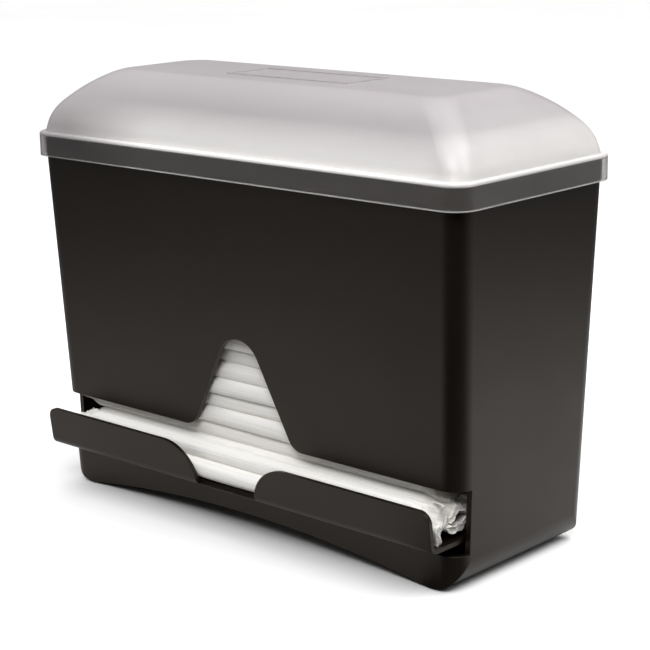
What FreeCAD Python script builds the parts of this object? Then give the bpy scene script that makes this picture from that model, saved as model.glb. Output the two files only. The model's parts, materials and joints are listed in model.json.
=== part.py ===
import FreeCAD, Part
import math
import os
import Sketcher

# Axes: X right, Y back, Z up; the front faces -Y, the floor is Z = 0. Millimetres and degrees.
SIZES = {
    # Wrapped straws
    "wrap_half": 112.0,  # half length of the paper sleeve
    "straw_half": 101.0,  # half length of the round part
    "straw_r": 3.9,  # radius of a wrapped straw
    "crimp": 0.5,  # half thickness of a flattened end
    "straw_gap": 0.5,  # gap between neighbouring straws
    "straw_seat": 0.26,  # gap between the lowest straws and the tray
    "straw_side": 0.45,  # gap between the first straws and the lip or the front wall
    "shuffle": 0.7,  # step by which neighbouring straws are shifted lengthwise
    "heap_foot": 25.5,  # Y of the heap's rear slope at its low end
    "heap_low": 45.0,  # height of that end
    "heap_run": 1.5,  # run of the heap's rear slope for each millimetre of height
    # Tub
    "end_room": 4.53,  # room at each end of the straws at the lowest line
    "deep": 43.8,  # half depth at the lowest line
    "low": 0.8,  # height of the lowest line over the floor
    "rim": 168.0,  # height of the rim
    "side_flare": 5.74,  # how much further out each end is at the rim
    "deep_flare": 6.25,  # how much further out the front and back are at the rim
    "wall": 2.5,  # wall thickness
    "corner": 8.8,  # upright corner radius
    "side_round": 14.0,  # rounding between the ends and the bottom
    "back_round": 9.0,  # rounding between the back and the bottom
    "arch_angle": 8.5,  # angle of the arched bottom at its two ends
    "slot_below": 4.6,  # opening of the front slot below the tray
    "slot_above": 4.6,  # opening of the front slot above the lip
    "notch_rise": 31.7,  # height of the notch's top arc's centre over the slot
    "notch_top": 13.0,  # radius of the notch's top arc
    "notch_angle": 27.0,  # lean of the notch's sides
    "notch_foot": 8.0,  # radius where the notch meets the slot
    # Lid
    "skin": 1.8,  # wall thickness of the lid
    "lid_side": 0.43,  # gap between the skirt and the tub's ends
    "lid_front": 0.65,  # gap between the skirt and the tub's front and back
    "skirt_drop": 9.3,  # how far the skirt hangs below the rim
    "skirt_more": 1.5,  # how much larger the skirt's corner radius is than the tub's
    "ledge_round": 1.2,  # rounding of the ledge's outer edge
    "ledge_wide": 2.5,  # width of the ledge round the dome
    "dome_rise": 28.2,  # height of the dome over the ledge
    "dome_in": 30.9,  # how far the dome draws in at the ends
    "dome_deep_in": 26.0,  # how far the dome draws in at the front and back
    "dome_corner": 9.0,  # corner radius at the dome's foot
    "dome_more": 1.8,  # how much that radius grows to the top
    "panel_half": 36.0,  # half width of the raised frame
    "panel_depth": 13.0,  # half depth of the raised frame
    "panel_line": 1.6,  # width of the frame's line
    "panel_rise": 0.5,  # height of the frame
    # Lever tray
    "tray_gap": 0.82,  # gap between the tray and the tub's end walls
    "tray_under": 21.0,  # underside of the tray's floor
    "tray_skin": 2.0,  # thickness of the tray
    "lip_out": 9.7,  # how far the bend's centre stands before the tub's front
    "bend": 4.0,  # outer radius of the front bend
    "lip_lean": 7.0,  # outward lean of the lip
    "lip_rise": 18.6,  # height of the lip over the tray's underside
    "lip_corner": 5.0,  # rounding of the lip's outer corners
    "lobe": 19.8,  # radius of the finger gap's two sides
    "lobe_centre": 37.4,  # X of the centre of those arcs
    "gap_rise": 1.2,  # height of the finger gap's lower edge over the tray's underside
    "tail": 12.0,  # Y of the rear end of the tray
    "knuckle": 3.6,  # radius of the hinge knuckles
    "knuckle_in": 58.0,  # inner X of the side knuckles
    "knuckle_long": 11.0,  # length of the side knuckles
    "knuckle_mid": 8.0,  # half width of the middle knuckle
    # Axle and clips
    "axle_y": -12.0,  # Y of the axle
    "axle_drop": 4.0,  # depth of the axle below the tray's underside
    "axle_r": 1.5,  # radius of the axle
    "axle_end": 3.5,  # how far the axle stands out of the brackets
    "run": 0.05,  # radial running clearance
    "groove": 0.35,  # depth of the clip grooves
    "clip": 0.7,  # thickness of a clip
    "clip_r": 2.3,  # outer radius of a clip
    "clip_mouth": 1.6,  # width of a clip's mouth
    # Brackets
    "ear_gap": 1.0,  # gap between the knuckles and the brackets' ears
    "ear": 4.5,  # thickness of the upright ear
    "ear_r": 3.3,  # radius of the ear's top
    "ear_high": 5.0,  # height of the axle over the bracket's foot
    "foot_long": 22.0,  # length of the bracket's foot along X
    "foot_half": 12.0,  # half width of the bracket's foot along Y
    "foot_skin": 2.6,  # thickness of the bracket's foot
    "pad_r": 5.0,  # radius of the pads on the tub floor
    "screw_in": 14.0,  # distance of the bracket screws from the ear's inner side
    "screw_step": 7.0,  # distance of the bracket screws from the axle along Y
    # Screws
    "screw_r": 1.5,  # radius of a screw
    "screw_head": 2.8,  # radius of a screw head
    "screw_head_high": 2.0,  # height of a screw head
    "screw_long": 9.0,  # length below the head
    "screw_seat": 3.2,  # depth of the screw seats from the pad's top
    "screw_gap": 0.25,  # clearance round the screw
    "screw_recess": 1.1,  # half length of the cross in the head
    "screw_line": 0.3,  # half width of the cross's lines
    "screw_deep": 1.0,  # depth of the cross
    # Hopper ramp
    "ramp_ledge": 6.5,  # how far the ramp's ledge reaches under the tray
    "ramp_step": 1.0,  # gap between the tray's rear end and the slope
    "ramp_high": 95.6,  # top of the slope
    "ramp_gap": 0.3,  # gap between the ramp and the tub's back wall
    "ramp_side": 0.5,  # gap between the ramp's ends and the tub's rounded corners
    "ramp_skin": 2.0,  # thickness of the ramp
    "rib": 2.4,  # thickness of the ribs under the ramp
    "rib_inner": 38.0,  # X of the inner ribs
    "post_x": 80.0,  # X of the screw posts and outer ribs
    "post_in": 14.8,  # distance of the screw posts from the tub's back at the lowest line
    "post_r": 4.0,  # radius of the screw posts
    "post_long": 24.0,  # height of the screw posts
    # Agitator bar
    "bar_in": 16.4,  # how much shorter each end of the bar is than the tray's
    "bar_set": 1.4,  # distance of the bar from the tray's rear end
    "bar_deep": 8.0,  # depth of the bar at its foot
    "bar_rise": 4.0,  # height of the bar
    "bar_top": 0.9,  # half width of the bar's top
    # Springs
    "wire": 0.47,  # corner radius of the eight-sided spring wire
    "spring_gap": 0.32,  # gap between a spring's legs and what they press on
    "pitch": 1.5,  # pitch of the coil
    "coil_start": -75.0,  # angle round the axle where the lower leg meets the coil
    "coil_turns": 4.0,  # whole turns of the coil
    "coil_x": 42.0,  # X where the coil starts
    "leg": 13.0,  # length of the upper leg
    "leg_wire": 0.48,  # radius of the legs
    "leg_root": 0.3,  # length of a leg inside the coil's end
    # Stops and feet
    "stop_in": 20.0,  # distance of the stops from the tub's ends at the lowest line
    "stop_front_in": 12.8,  # distance of the stops from the tub's front at the lowest line
    "stop_room": 2.8,  # travel between the stops and the tray
    "stop_tall": 4.2,  # height of the stops
    "stop_r": 3.6,  # radius of the stops
    "stop_top": 2.8,  # radius of the stops at their top
    "foot_in": 19.0,  # distance of the feet from the tub's ends at the lowest line
    "foot_front_in": 8.8,  # distance of the front feet from the tub's front
    "foot_back_in": 13.8,  # distance of the rear feet from the tub's back
    "foot_r": 5.5,  # radius of a foot
    "foot_tip": 4.7,  # radius of a foot at the floor
    "foot_high": 3.0,  # height of a foot
    "foot_taper": 1.0,  # height of its tapered tip
    "foot_roof": 3.2,  # thickness of the boss over a foot
    "foot_gap": 0.1,  # gap round a foot in its recess
    # Room that cutting solids reach past the part
    "beyond": 12.0,
    "reach": 160.0,
}
# Level sections of the dome, as shares: rise, draw-in at the ends, draw-in at the front and back
DOME = [
    (0.0, 0.0, 0.0), (0.184, 0.042, 0.042), (0.337, 0.107, 0.100), (0.447, 0.181, 0.169),
    (0.567, 0.294, 0.269), (0.702, 0.440, 0.408), (0.837, 0.621, 0.581), (0.936, 0.780, 0.754),
    (0.986, 0.890, 0.885), (1.0, 1.0, 1.0),
]


class Term:
    """A size that carries its number and the words that name it."""

    def __init__(self, value, text):
        self.value = value
        self.text = text

    def join(self, sign, other, value):
        return Term(value, "(%s %s %s)" % (self.text, sign, other.text))

    def __add__(self, other):
        other = term(other)
        return self.join("+", other, self.value + other.value)

    def __sub__(self, other):
        other = term(other)
        return self.join("-", other, self.value - other.value)

    def __mul__(self, other):
        other = term(other)
        return self.join("*", other, self.value * other.value)

    def __truediv__(self, other):
        other = term(other)
        return self.join("/", other, self.value / other.value)

    def __neg__(self):
        return Term(-self.value, "(0 - %s)" % self.text)

    def __radd__(self, other):
        return term(other) + self

    def __rsub__(self, other):
        return term(other) - self

    def __rmul__(self, other):
        return term(other) * self


def term(value):
    if isinstance(value, Term):
        return value
    if value < 0:
        return Term(value, "(0 - %s)" % repr(-value))
    return Term(value, repr(value))


def sine(angle):
    return Term(math.sin(math.radians(angle.value)), "sin(%s)" % angle.text)


def cosine(angle):
    return Term(math.cos(math.radians(angle.value)), "cos(%s)" % angle.text)


def root(square):
    return Term(math.sqrt(square.value), "sqrt(%s)" % square.text)


class Sizes:
    """The spreadsheet's cells by name."""


def fill_sheet(sheet):
    cells = Sizes()
    for row, (name, value) in enumerate(SIZES.items(), 1):
        sheet.set("A%d" % row, name)
        sheet.set("B%d" % row, str(value))
        sheet.setAlias("B%d" % row, name)
        setattr(cells, name, Term(value, "Sizes.%s" % name))
    return cells


doc = FreeCAD.newDocument("dispenser")
sheet = doc.addObject("Spreadsheet::Sheet", "Sizes")
s = fill_sheet(sheet)
doc.recompute()

UPRIGHT = FreeCAD.Rotation(FreeCAD.Vector(1, 0, 0), 90)
SIDEWAYS = FreeCAD.Rotation(FreeCAD.Vector(1, 1, 1), 120)
FLAT = FreeCAD.Rotation()
nodes = []


def bind(obj, path, value):
    obj.setExpression(path, term(value).text)


def place(obj, x=0.0, y=0.0, z=0.0, turn=FLAT):
    spot = [term(v) for v in (x, y, z)]
    obj.Placement = FreeCAD.Placement(FreeCAD.Vector(*[v.value for v in spot]), turn)
    for axis, value in zip("xyz", spot):
        bind(obj, "Placement.Base.%s" % axis, value)
    return obj


def outline(name, turn, points, arcs=(), base=(0.0, 0.0, 0.0)):
    """A closed sketch through the points; arcs maps a side's number to its radius and bulge."""
    arcs = dict(arcs)
    sketch = doc.addObject("Sketcher::SketchObject", name)
    place(sketch, *base, turn=turn)
    spots = [(term(u), term(v)) for u, v in points]
    flat = [FreeCAD.Vector(u.value, v.value, 0) for u, v in spots]
    count = len(flat)
    ends = []
    for i in range(count):
        a = flat[i]
        b = flat[(i + 1) % count]
        if i not in arcs:
            sketch.addGeometry(Part.LineSegment(a, b), False)
            ends.append((1, 2))
            continue
        radius, side = arcs[i]
        radius = term(radius)
        half = (b - a).Length / 2
        rise = math.sqrt(max(radius.value ** 2 - half ** 2, 0.0))
        along = (b - a).normalize()
        across = FreeCAD.Vector(-along.y, along.x, 0) * side
        centre = (a + b) / 2 - across * rise
        circle = Part.Circle(centre, FreeCAD.Vector(0, 0, 1), radius.value)
        first, last = (a, b) if side < 0 else (b, a)
        start = math.atan2(first.y - centre.y, first.x - centre.x)
        stop = math.atan2(last.y - centre.y, last.x - centre.x)
        if stop < start:
            stop += 2 * math.pi
        sketch.addGeometry(Part.ArcOfCircle(circle, start, stop), False)
        ends.append((1, 2) if side < 0 else (2, 1))
    for i in range(count):
        j = (i + 1) % count
        sketch.addConstraint(Sketcher.Constraint("Coincident", i, ends[i][1], j, ends[j][0]))
    number = sketch.ConstraintCount
    for i in range(count):
        for kind, value in (("DistanceX", spots[i][0]), ("DistanceY", spots[i][1])):
            sketch.addConstraint(Sketcher.Constraint(kind, -1, 1, i, ends[i][0], value.value))
            bind(sketch, "Constraints[%d]" % number, value)
            number += 1
    for i, (radius, side) in arcs.items():
        sketch.addConstraint(Sketcher.Constraint("Radius", i, term(radius).value))
        bind(sketch, "Constraints[%d]" % number, radius)
        number += 1
    return sketch


def plate(name, height, half, deep, radius):
    """A rounded rectangle lying flat at a height."""
    points = [
        (radius - half, -deep), (half - radius, -deep),
        (half, radius - deep), (half, deep - radius),
        (half - radius, deep), (radius - half, deep),
        (-half, deep - radius), (-half, radius - deep),
    ]
    arcs = {i: (radius, -1) for i in (1, 3, 5, 7)}
    return outline(name, FLAT, points, arcs, (0.0, 0.0, height))


def loft(name, sections, ruled=True):
    obj = doc.addObject("Part::Loft", name)
    obj.Sections = sections
    obj.Solid = True
    obj.Ruled = ruled
    return obj


def extrude(name, sketch, forward, backward):
    """A solid swept both ways from a sketch along its normal."""
    obj = doc.addObject("Part::Extrusion", name)
    obj.Base = sketch
    obj.DirMode = "Normal"
    obj.Solid = True
    bind(obj, "LengthFwd", forward)
    bind(obj, "LengthRev", backward)
    return obj


def block(name, x0, x1, y0, y1, z0, z1):
    obj = doc.addObject("Part::Box", name)
    low = [term(v) for v in (x0, y0, z0)]
    high = [term(v) for v in (x1, y1, z1)]
    place(obj, *low)
    for prop, a, b in zip(("Length", "Width", "Height"), low, high):
        bind(obj, prop, b - a)
    return obj


def rod(name, x, y, z, radius, length, turn=FLAT):
    obj = doc.addObject("Part::Cylinder", name)
    bind(obj, "Radius", radius)
    bind(obj, "Height", length)
    return place(obj, x, y, z, turn)


def cone(name, x, y, z, radius, top, height):
    obj = doc.addObject("Part::Cone", name)
    bind(obj, "Radius1", radius)
    bind(obj, "Radius2", top)
    bind(obj, "Height", height)
    return place(obj, x, y, z)


def fuse(name, parts):
    obj = doc.addObject("Part::MultiFuse", name)
    obj.Shapes = parts
    return obj


def common(name, parts):
    obj = doc.addObject("Part::MultiCommon", name)
    obj.Shapes = parts
    return obj


def cut(name, base, tools):
    obj = doc.addObject("Part::Cut", name)
    obj.Base = base
    obj.Tool = tools[0] if len(tools) == 1 else fuse(name + "_tools", tools)
    return obj


def rounded(name, base, radius, wanted):
    """The base with the edges that answer to wanted rounded off."""
    doc.recompute()
    obj = doc.addObject("Part::Fillet", name)
    obj.Base = base
    chosen = []
    for number, edge in enumerate(base.Shape.Edges, 1):
        if wanted(edge):
            chosen.append((number, radius.value, radius.value))
    obj.Edges = chosen
    return obj


def keep(label, obj):
    obj.Label = label
    nodes.append((label, obj))


# The tub's outline at the lowest line and at the rim
half_low = s.wrap_half + s.end_room + s.wall
half_rim = half_low + s.side_flare
deep_rim = s.deep + s.deep_flare
rise = s.rim - s.low


def half_at(height, inset):
    """Half width of the tub at a height, moved inwards."""
    return half_low + s.side_flare / rise * (height - s.low) - inset


def deep_at(height, inset):
    """Half depth of the tub at a height, moved inwards."""
    return s.deep + s.deep_flare / rise * (height - s.low) - inset


def arch(inset):
    """Centre, toe and radius of the arched bottom's outline."""
    side = s.side_round - inset
    knee = s.low + s.side_round
    centre = half_at(knee, inset) - side
    toe_x = centre - side * sine(s.arch_angle)
    toe_z = knee - side * cosine(s.arch_angle)
    return side, knee, toe_x, toe_z, toe_x / sine(s.arch_angle)


def floor_middle(x):
    """Height halfway through the arched bottom at an X, where what stands on it starts."""
    toe_x, toe_z, radius = arch(s.wall / 2)[2:]
    return toe_z - radius * cosine(s.arch_angle) + root(radius * radius - x * x)


# One skin of the tub: a flared block with round corners, shaped from the front and from the side
def tub(name, inset, top):
    radius = s.corner - inset
    bottom = s.low - s.beyond
    block_sides = doc.addObject("Part::Wedge", name + "_block")
    block_sides.Placement = FreeCAD.Placement(FreeCAD.Vector(), UPRIGHT)
    bind(block_sides, "Ymin", bottom)
    bind(block_sides, "Ymax", top)
    for mark, height in (("", bottom), ("2", top)):
        bind(block_sides, "X%smin" % mark, -half_at(height, inset))
        bind(block_sides, "X%smax" % mark, half_at(height, inset))
        bind(block_sides, "Z%smin" % mark, -deep_at(height, inset))
        bind(block_sides, "Z%smax" % mark, deep_at(height, inset))
    body = rounded(name + "_flare", block_sides, radius, lambda edge: abs(edge.tangentAt(0).z) > 0.5)
    side, knee, toe_x, toe_z, round_arch = arch(inset)
    edge = half_at(knee, inset)
    wide = edge + s.beyond
    points = [
        (-wide, top + s.beyond), (-edge, knee), (-toe_x, toe_z),
        (toe_x, toe_z), (edge, knee), (wide, top + s.beyond),
    ]
    arcs = {1: (side, -1), 2: (round_arch, 1), 3: (side, -1)}
    front_view = extrude(name + "_front_view", outline(name + "_arch", UPRIGHT, points, arcs), s.reach, s.reach)
    turn = s.back_round - inset
    hip = s.low + s.back_round
    rear = deep_at(hip, inset)
    points = [
        (-s.reach, s.low + inset), (rear - turn, s.low + inset),
        (rear, hip), (rear + s.beyond, top + s.beyond), (-s.reach, top + s.beyond),
    ]
    back = outline(name + "_back", SIDEWAYS, points, {1: (turn, -1)})
    side_view = extrude(name + "_side_view", back, s.reach, s.reach)
    return common(name, [body, front_view, side_view])


# Heights and places that more than one piece shares
lip_top = s.tray_under + s.lip_rise
slot_low = s.tray_under - s.slot_below
slot_high = lip_top + s.slot_above
tray_floor = s.tray_under + s.tray_skin
axle_z = s.tray_under - s.axle_drop
pad = axle_z - s.ear_high
ear_in = s.knuckle_in + s.knuckle_long + s.ear_gap
ear_out = ear_in + s.ear
screw_x = ear_in + s.screw_in
post_y = s.deep - s.post_in
stop_high = s.tray_under - s.stop_room
stop_seat = stop_high - s.stop_tall
stop_x = half_low - s.stop_in
stop_y = s.stop_front_in - s.deep
foot_x = half_low - s.foot_in
skirt_half = half_rim + s.lid_side + s.skin
skirt_depth = deep_rim + s.lid_front + s.skin
skirt_low = s.rim - s.skirt_drop
ledge = s.rim + s.skin

# Housing
outer = tub("outer", term(0.0), s.rim)
cavity = tub("cavity", s.wall, s.rim + s.wall)
slot_back = s.corner - deep_at(slot_high, term(0.0))
slot = block("slot", -s.reach, s.reach, -s.reach, slot_back, slot_low, slot_high)
lean_cos = cosine(s.notch_angle)
lean_sin = sine(s.notch_angle)
lean_tan = lean_sin / lean_cos
arc_x = s.notch_top * lean_cos
arc_z = slot_high + s.notch_rise + s.notch_top * lean_sin
foot_z = slot_high + s.notch_foot
notch_x = arc_x + lean_tan * (arc_z - foot_z) + s.notch_foot / lean_cos
side_x = notch_x - s.notch_foot * lean_cos
side_z = foot_z - s.notch_foot * lean_sin
notch_base = slot_high - s.wall
notch_points = [
    (-notch_x, notch_base), (notch_x, notch_base), (notch_x, slot_high), (side_x, side_z),
    (arc_x, arc_z), (-arc_x, arc_z), (-side_x, side_z), (-notch_x, slot_high),
]
notch_arcs = {2: (s.notch_foot, 1), 4: (s.notch_top, -1), 6: (s.notch_foot, 1)}
notch_sketch = outline("notch_outline", UPRIGHT, notch_points, notch_arcs)
notch = extrude("notch", notch_sketch, s.reach, s.beyond - s.deep)
pads = []
holes = []
screw_spots = []
for sign in (-1, 1):
    for step in (-1, 1):
        screw_spots.append((screw_x * sign, s.axle_y + s.screw_step * step))
post_spots = [(s.post_x * sign, post_y) for sign in (-1, 1)]
seat = pad - s.screw_seat
for number, (x, y) in enumerate(screw_spots + post_spots):
    tag = "_%d" % number
    start = floor_middle(x)
    pads.append(rod("pad" + tag, x, y, start, s.pad_r, pad - start))
    holes.append(rod("hole" + tag, x, y, -s.beyond, s.screw_r + s.screw_gap, pad + s.beyond * 2))
    holes.append(rod("seat" + tag, x, y, -s.beyond, s.screw_head + s.screw_gap, seat + s.beyond))
for number, sign in enumerate((-1, 1)):
    start = floor_middle(stop_x)
    pads.append(rod("stop_post_%d" % number, stop_x * sign, stop_y, start, s.stop_r, stop_seat - start))
foot_spots = []
for x_word, sign in (("left", -1), ("right", 1)):
    for y_word, y in (("front", s.foot_front_in - s.deep), ("back", s.deep - s.foot_back_in)):
        foot_spots.append(("foot_%s_%s" % (y_word, x_word), foot_x * sign, y))
for name, x, y in foot_spots:
    start = floor_middle(x)
    pads.append(rod(name + "_boss", x, y, start, s.foot_r + s.wall, s.foot_high + s.foot_roof - start))
    holes.append(rod(name + "_recess", x, y, -s.beyond, s.foot_r + s.foot_gap, s.foot_high + s.beyond))
shell = cut("shell", outer, [cavity, slot, notch])
housing = cut("housing", fuse("shell_and_pads", [shell] + pads), holes)
keep("housing", housing)

# Lid: a skirt with a ledge and a dome drawn through level sections
def dome(name, inset, drop):
    sections = []
    for number, (up, draw, deep_draw) in enumerate(DOME):
        height = ledge + s.dome_rise * up - drop
        wide = skirt_half - s.ledge_wide - s.dome_in * draw - inset
        depth = skirt_depth - s.ledge_wide - s.dome_deep_in * deep_draw - inset
        corner = s.dome_corner + s.dome_more * draw - inset
        sections.append(plate("%s_%d" % (name, number), height, wide, depth, corner))
    return loft(name, sections, False)


skirt_corner = s.corner + s.skirt_more
skirt_plan = plate("skirt_plan", skirt_low, skirt_half, skirt_depth, skirt_corner)
skirt = extrude("skirt", skirt_plan, ledge - skirt_low, term(0.0))
skirt_round = rounded(
    "skirt_round", skirt, s.ledge_round,
    lambda edge: min(v.Z for v in edge.Vertexes) > ledge.value - s.run.value,
)
room_plan = plate(
    "skirt_room_plan", skirt_low, skirt_half - s.skin, skirt_depth - s.skin, skirt_corner - s.skin,
)
skirt_room = extrude("skirt_room", room_plan, s.rim - skirt_low, s.beyond)
panel_top = ledge + s.dome_rise
panel = block(
    "panel", -s.panel_half, s.panel_half, -s.panel_depth, s.panel_depth,
    panel_top - s.panel_rise, panel_top + s.panel_rise,
)
panel_room = block(
    "panel_room", -s.panel_half + s.panel_line, s.panel_half - s.panel_line,
    -s.panel_depth + s.panel_line, s.panel_depth - s.panel_line,
    panel_top - s.beyond, panel_top + s.beyond,
)
lid_outer = fuse("lid_outer", [skirt_round, dome("dome", term(0.0), term(0.0)), cut("frame", panel, [panel_room])])
lid = cut("lid", lid_outer, [skirt_room, dome("dome_room", s.skin, s.skin)])
keep("lid", lid)

# Lever tray: a trough with a two-lobed lip, its knuckles under the floor
tray_half = half_at(s.tray_under, s.wall + s.tray_gap)
bend_centre = -s.deep - s.lip_out
bend_z = s.tray_under + s.bend
inner_bend = s.bend - s.tray_skin
lip_cos = cosine(s.lip_lean)
lip_sin = sine(s.lip_lean)


def lip_line(radius):
    start_y = bend_centre - radius * lip_cos
    start_z = bend_z - radius * lip_sin
    end_y = start_y - (lip_top - start_z) * lip_sin / lip_cos
    return (start_y, start_z), (end_y, lip_top)


outer_low, outer_high = lip_line(s.bend)
inner_low, inner_high = lip_line(inner_bend)
tray_points = [
    outer_high, outer_low, (bend_centre, s.tray_under), (s.tail, s.tray_under),
    (s.tail, tray_floor), (bend_centre, tray_floor), inner_low, inner_high,
]
tray_arcs = {1: (s.bend, -1), 5: (inner_bend, 1)}
tray_sketch = outline("tray_profile", SIDEWAYS, tray_points, tray_arcs)
tray_plate = extrude("tray_plate", tray_sketch, tray_half, tray_half)
gap_low = s.tray_under + s.gap_rise
gap_x = s.lobe_centre - s.lobe
lobe_low = lip_top - s.lobe
over = lip_top + s.wall
gap_points = [
    (-gap_x, lobe_low), (gap_x, lobe_low), (s.lobe_centre, lip_top), (s.lobe_centre, over),
    (-s.lobe_centre, over), (-s.lobe_centre, lip_top),
]
gap_sketch = outline("gap_outline", UPRIGHT, gap_points, {1: (s.lobe, 1), 5: (s.lobe, 1)})
gap_body = extrude("gap_body", gap_sketch, -bend_centre + s.beyond, bend_centre)
gap_limit = block("gap_limit", -s.reach, s.reach, -s.reach, bend_centre, gap_low, over)
finger_gap = common("finger_gap", [gap_body, gap_limit])
round_x = tray_half - s.lip_corner
round_z = lip_top - s.lip_corner
corner_cuts = []
for number, sign in enumerate((-1, 1)):
    far = (tray_half + s.wall) * sign
    corner_points = [
        (round_x * sign, lip_top), (tray_half * sign, round_z), (far, round_z),
        (far, over), (round_x * sign, over),
    ]
    corner_sketch = outline("lip_corner_%d" % number, UPRIGHT, corner_points, {0: (s.lip_corner, sign)})
    corner_cuts.append(extrude("lip_corner_cut_%d" % number, corner_sketch, s.reach, bend_centre))
knuckle_out = s.knuckle_in + s.knuckle_long
knuckles = []
for number, (x0, x1) in enumerate((
    (-knuckle_out, -s.knuckle_in), (-s.knuckle_mid, s.knuckle_mid), (s.knuckle_in, knuckle_out),
)):
    tag = "_%d" % number
    knuckles.append(rod("knuckle" + tag, x0, s.axle_y, axle_z, s.knuckle, x1 - x0, SIDEWAYS))
    knuckles.append(block(
        "knuckle_web" + tag, x0, x1, s.axle_y - s.knuckle, s.axle_y + s.knuckle, axle_z, tray_floor,
    ))
tray_solid = fuse("tray_solid", [tray_plate] + knuckles)
tray_bore = rod("tray_bore", -s.reach, s.axle_y, axle_z, s.axle_r + s.run, s.reach * 2, SIDEWAYS)
lever_tray = cut("lever_tray", tray_solid, [finger_gap, tray_bore] + corner_cuts)
keep("lever_tray", lever_tray)

# Agitator bar clipped to the tray's rear end
bar_back = s.tail - s.bar_set
bar_front = bar_back - s.bar_deep
bar_middle = (bar_front + bar_back) / 2
bar_high = tray_floor + s.bar_rise
bar_half = tray_half - s.bar_in
bar_points = [
    (bar_front, tray_floor), (bar_back, tray_floor),
    (bar_middle + s.bar_top, bar_high), (bar_middle - s.bar_top, bar_high),
]
agitator = extrude("agitator_bar", outline("bar_profile", SIDEWAYS, bar_points), bar_half, bar_half)
keep("agitator_bar", agitator)

# Axle with a groove near each end, and the two clips in the grooves
axle_half = ear_out + s.axle_end
axle_rod = rod("axle_rod", -axle_half, s.axle_y, axle_z, s.axle_r, axle_half * 2, SIDEWAYS)
grooves = []
clips = []
for number, sign in enumerate((-1, 1)):
    tag = "_%d" % number
    middle_x = (ear_out + s.run + s.clip / 2) * sign
    start = middle_x - s.clip / 2
    ring = rod("groove_ring" + tag, start, s.axle_y, axle_z, s.axle_r * 2, s.clip, SIDEWAYS)
    core = rod("groove_core" + tag, start, s.axle_y, axle_z, s.axle_r - s.groove, s.clip, SIDEWAYS)
    grooves.append(cut("groove" + tag, ring, [core]))
    disc = rod("clip_disc" + tag, start, s.axle_y, axle_z, s.clip_r, s.clip, SIDEWAYS)
    eye = rod("clip_eye" + tag, start, s.axle_y, axle_z, s.axle_r - s.groove + s.run, s.clip, SIDEWAYS)
    mouth = block(
        "clip_mouth_box" + tag, start, start + s.clip, s.axle_y - s.clip_mouth / 2,
        s.axle_y + s.clip_mouth / 2, axle_z - s.clip_r * 2, axle_z,
    )
    clips.append(cut("clip" + tag, disc, [eye, mouth]))
keep("axle", cut("axle", axle_rod, grooves))
clip_group = doc.addObject("Part::Compound", "axle_clips")
clip_group.Links = clips
keep("axle_clips", clip_group)


# Bearing brackets: a foot on the pads and an upright ear for the axle
def bracket(name, sign):
    x_in = ear_in * sign
    x_out = ear_out * sign
    x_far = (ear_in + s.foot_long) * sign
    low, high = (x_in, x_out) if sign > 0 else (x_out, x_in)
    foot_low, foot_high = (x_in, x_far) if sign > 0 else (x_far, x_in)
    foot_top = pad + s.foot_skin
    foot = block(
        name + "_foot", foot_low, foot_high, s.axle_y - s.foot_half, s.axle_y + s.foot_half, pad, foot_top,
    )
    near = s.axle_y - s.foot_half
    rear = s.axle_y + s.foot_half
    ear_points = [
        (near, pad), (rear, pad), (rear, foot_top), (s.axle_y + s.ear_r, axle_z),
        (s.axle_y - s.ear_r, axle_z), (near, foot_top),
    ]
    ear_sketch = outline(name + "_ear_profile", SIDEWAYS, ear_points, (), (low, 0.0, 0.0))
    ear = extrude(name + "_ear", ear_sketch, high - low, term(0.0))
    crown = rod(name + "_crown", low, s.axle_y, axle_z, s.ear_r, high - low, SIDEWAYS)
    bore = rod(name + "_bore", low - s.wall, s.axle_y, axle_z, s.axle_r + s.run, high - low + s.wall * 2, SIDEWAYS)
    tools = [bore]
    for number, step in enumerate((-1, 1)):
        tools.append(rod(
            "%s_pilot_%d" % (name, number), screw_x * sign, s.axle_y + s.screw_step * step,
            pad - s.wall, s.screw_r + s.run, s.foot_skin + s.wall * 2,
        ))
    return cut(name, fuse(name + "_solid", [foot, ear, crown]), tools)


keep("bracket_left", bracket("bracket_left", -1))
keep("bracket_right", bracket("bracket_right", 1))


# Screws driven up from below
def screw(name, x, y):
    socket_low = seat - s.screw_head_high
    head = rod(name + "_head", x, y, socket_low, s.screw_head, s.screw_head_high)
    shank = rod(name + "_shank", x, y, seat, s.screw_r, s.screw_long)
    lines = []
    for mark, wide, long in (("a", s.screw_recess, s.screw_line), ("b", s.screw_line, s.screw_recess)):
        lines.append(block(
            name + "_cross_" + mark, x - wide, x + wide, y - long, y + long,
            socket_low - s.screw_deep, socket_low + s.screw_deep,
        ))
    return cut(name, fuse(name + "_solid", [head, shank]), lines)


for group, spots in (("bracket_screws", screw_spots), ("ramp_screws", post_spots)):
    solids = [screw("%s_%d" % (group, number), x, y) for number, (x, y) in enumerate(spots)]
    bundle = doc.addObject("Part::Compound", group)
    bundle.Links = solids
    keep(group, bundle)

# Hopper ramp: a ledge, a slope to the back wall, ribs and screw posts below it
ramp_half = half_at(s.ramp_high, s.corner + s.ramp_side)
ramp_front = s.tail - s.ramp_ledge
ramp_bend = s.tail + s.ramp_step
ramp_back = deep_at(s.ramp_high, s.wall + s.ramp_gap)
run_y = ramp_back - ramp_bend
run_z = s.ramp_high - s.tray_under
slope_length = root(run_y * run_y + run_z * run_z)
drop = s.ramp_skin * slope_length / run_y
ledge_under = s.tray_under - s.ramp_skin
under_y = ramp_bend + (drop - s.ramp_skin) * run_y / run_z
ramp_points = [
    (ramp_front, ledge_under), (under_y, ledge_under), (ramp_back, s.ramp_high - drop),
    (ramp_back, s.ramp_high), (ramp_bend, s.tray_under), (ramp_front, s.tray_under),
]
ramp_parts = [extrude("ramp_plate", outline("ramp_profile", SIDEWAYS, ramp_points), ramp_half, ramp_half)]
rib_heel = pad + s.back_round
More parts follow.
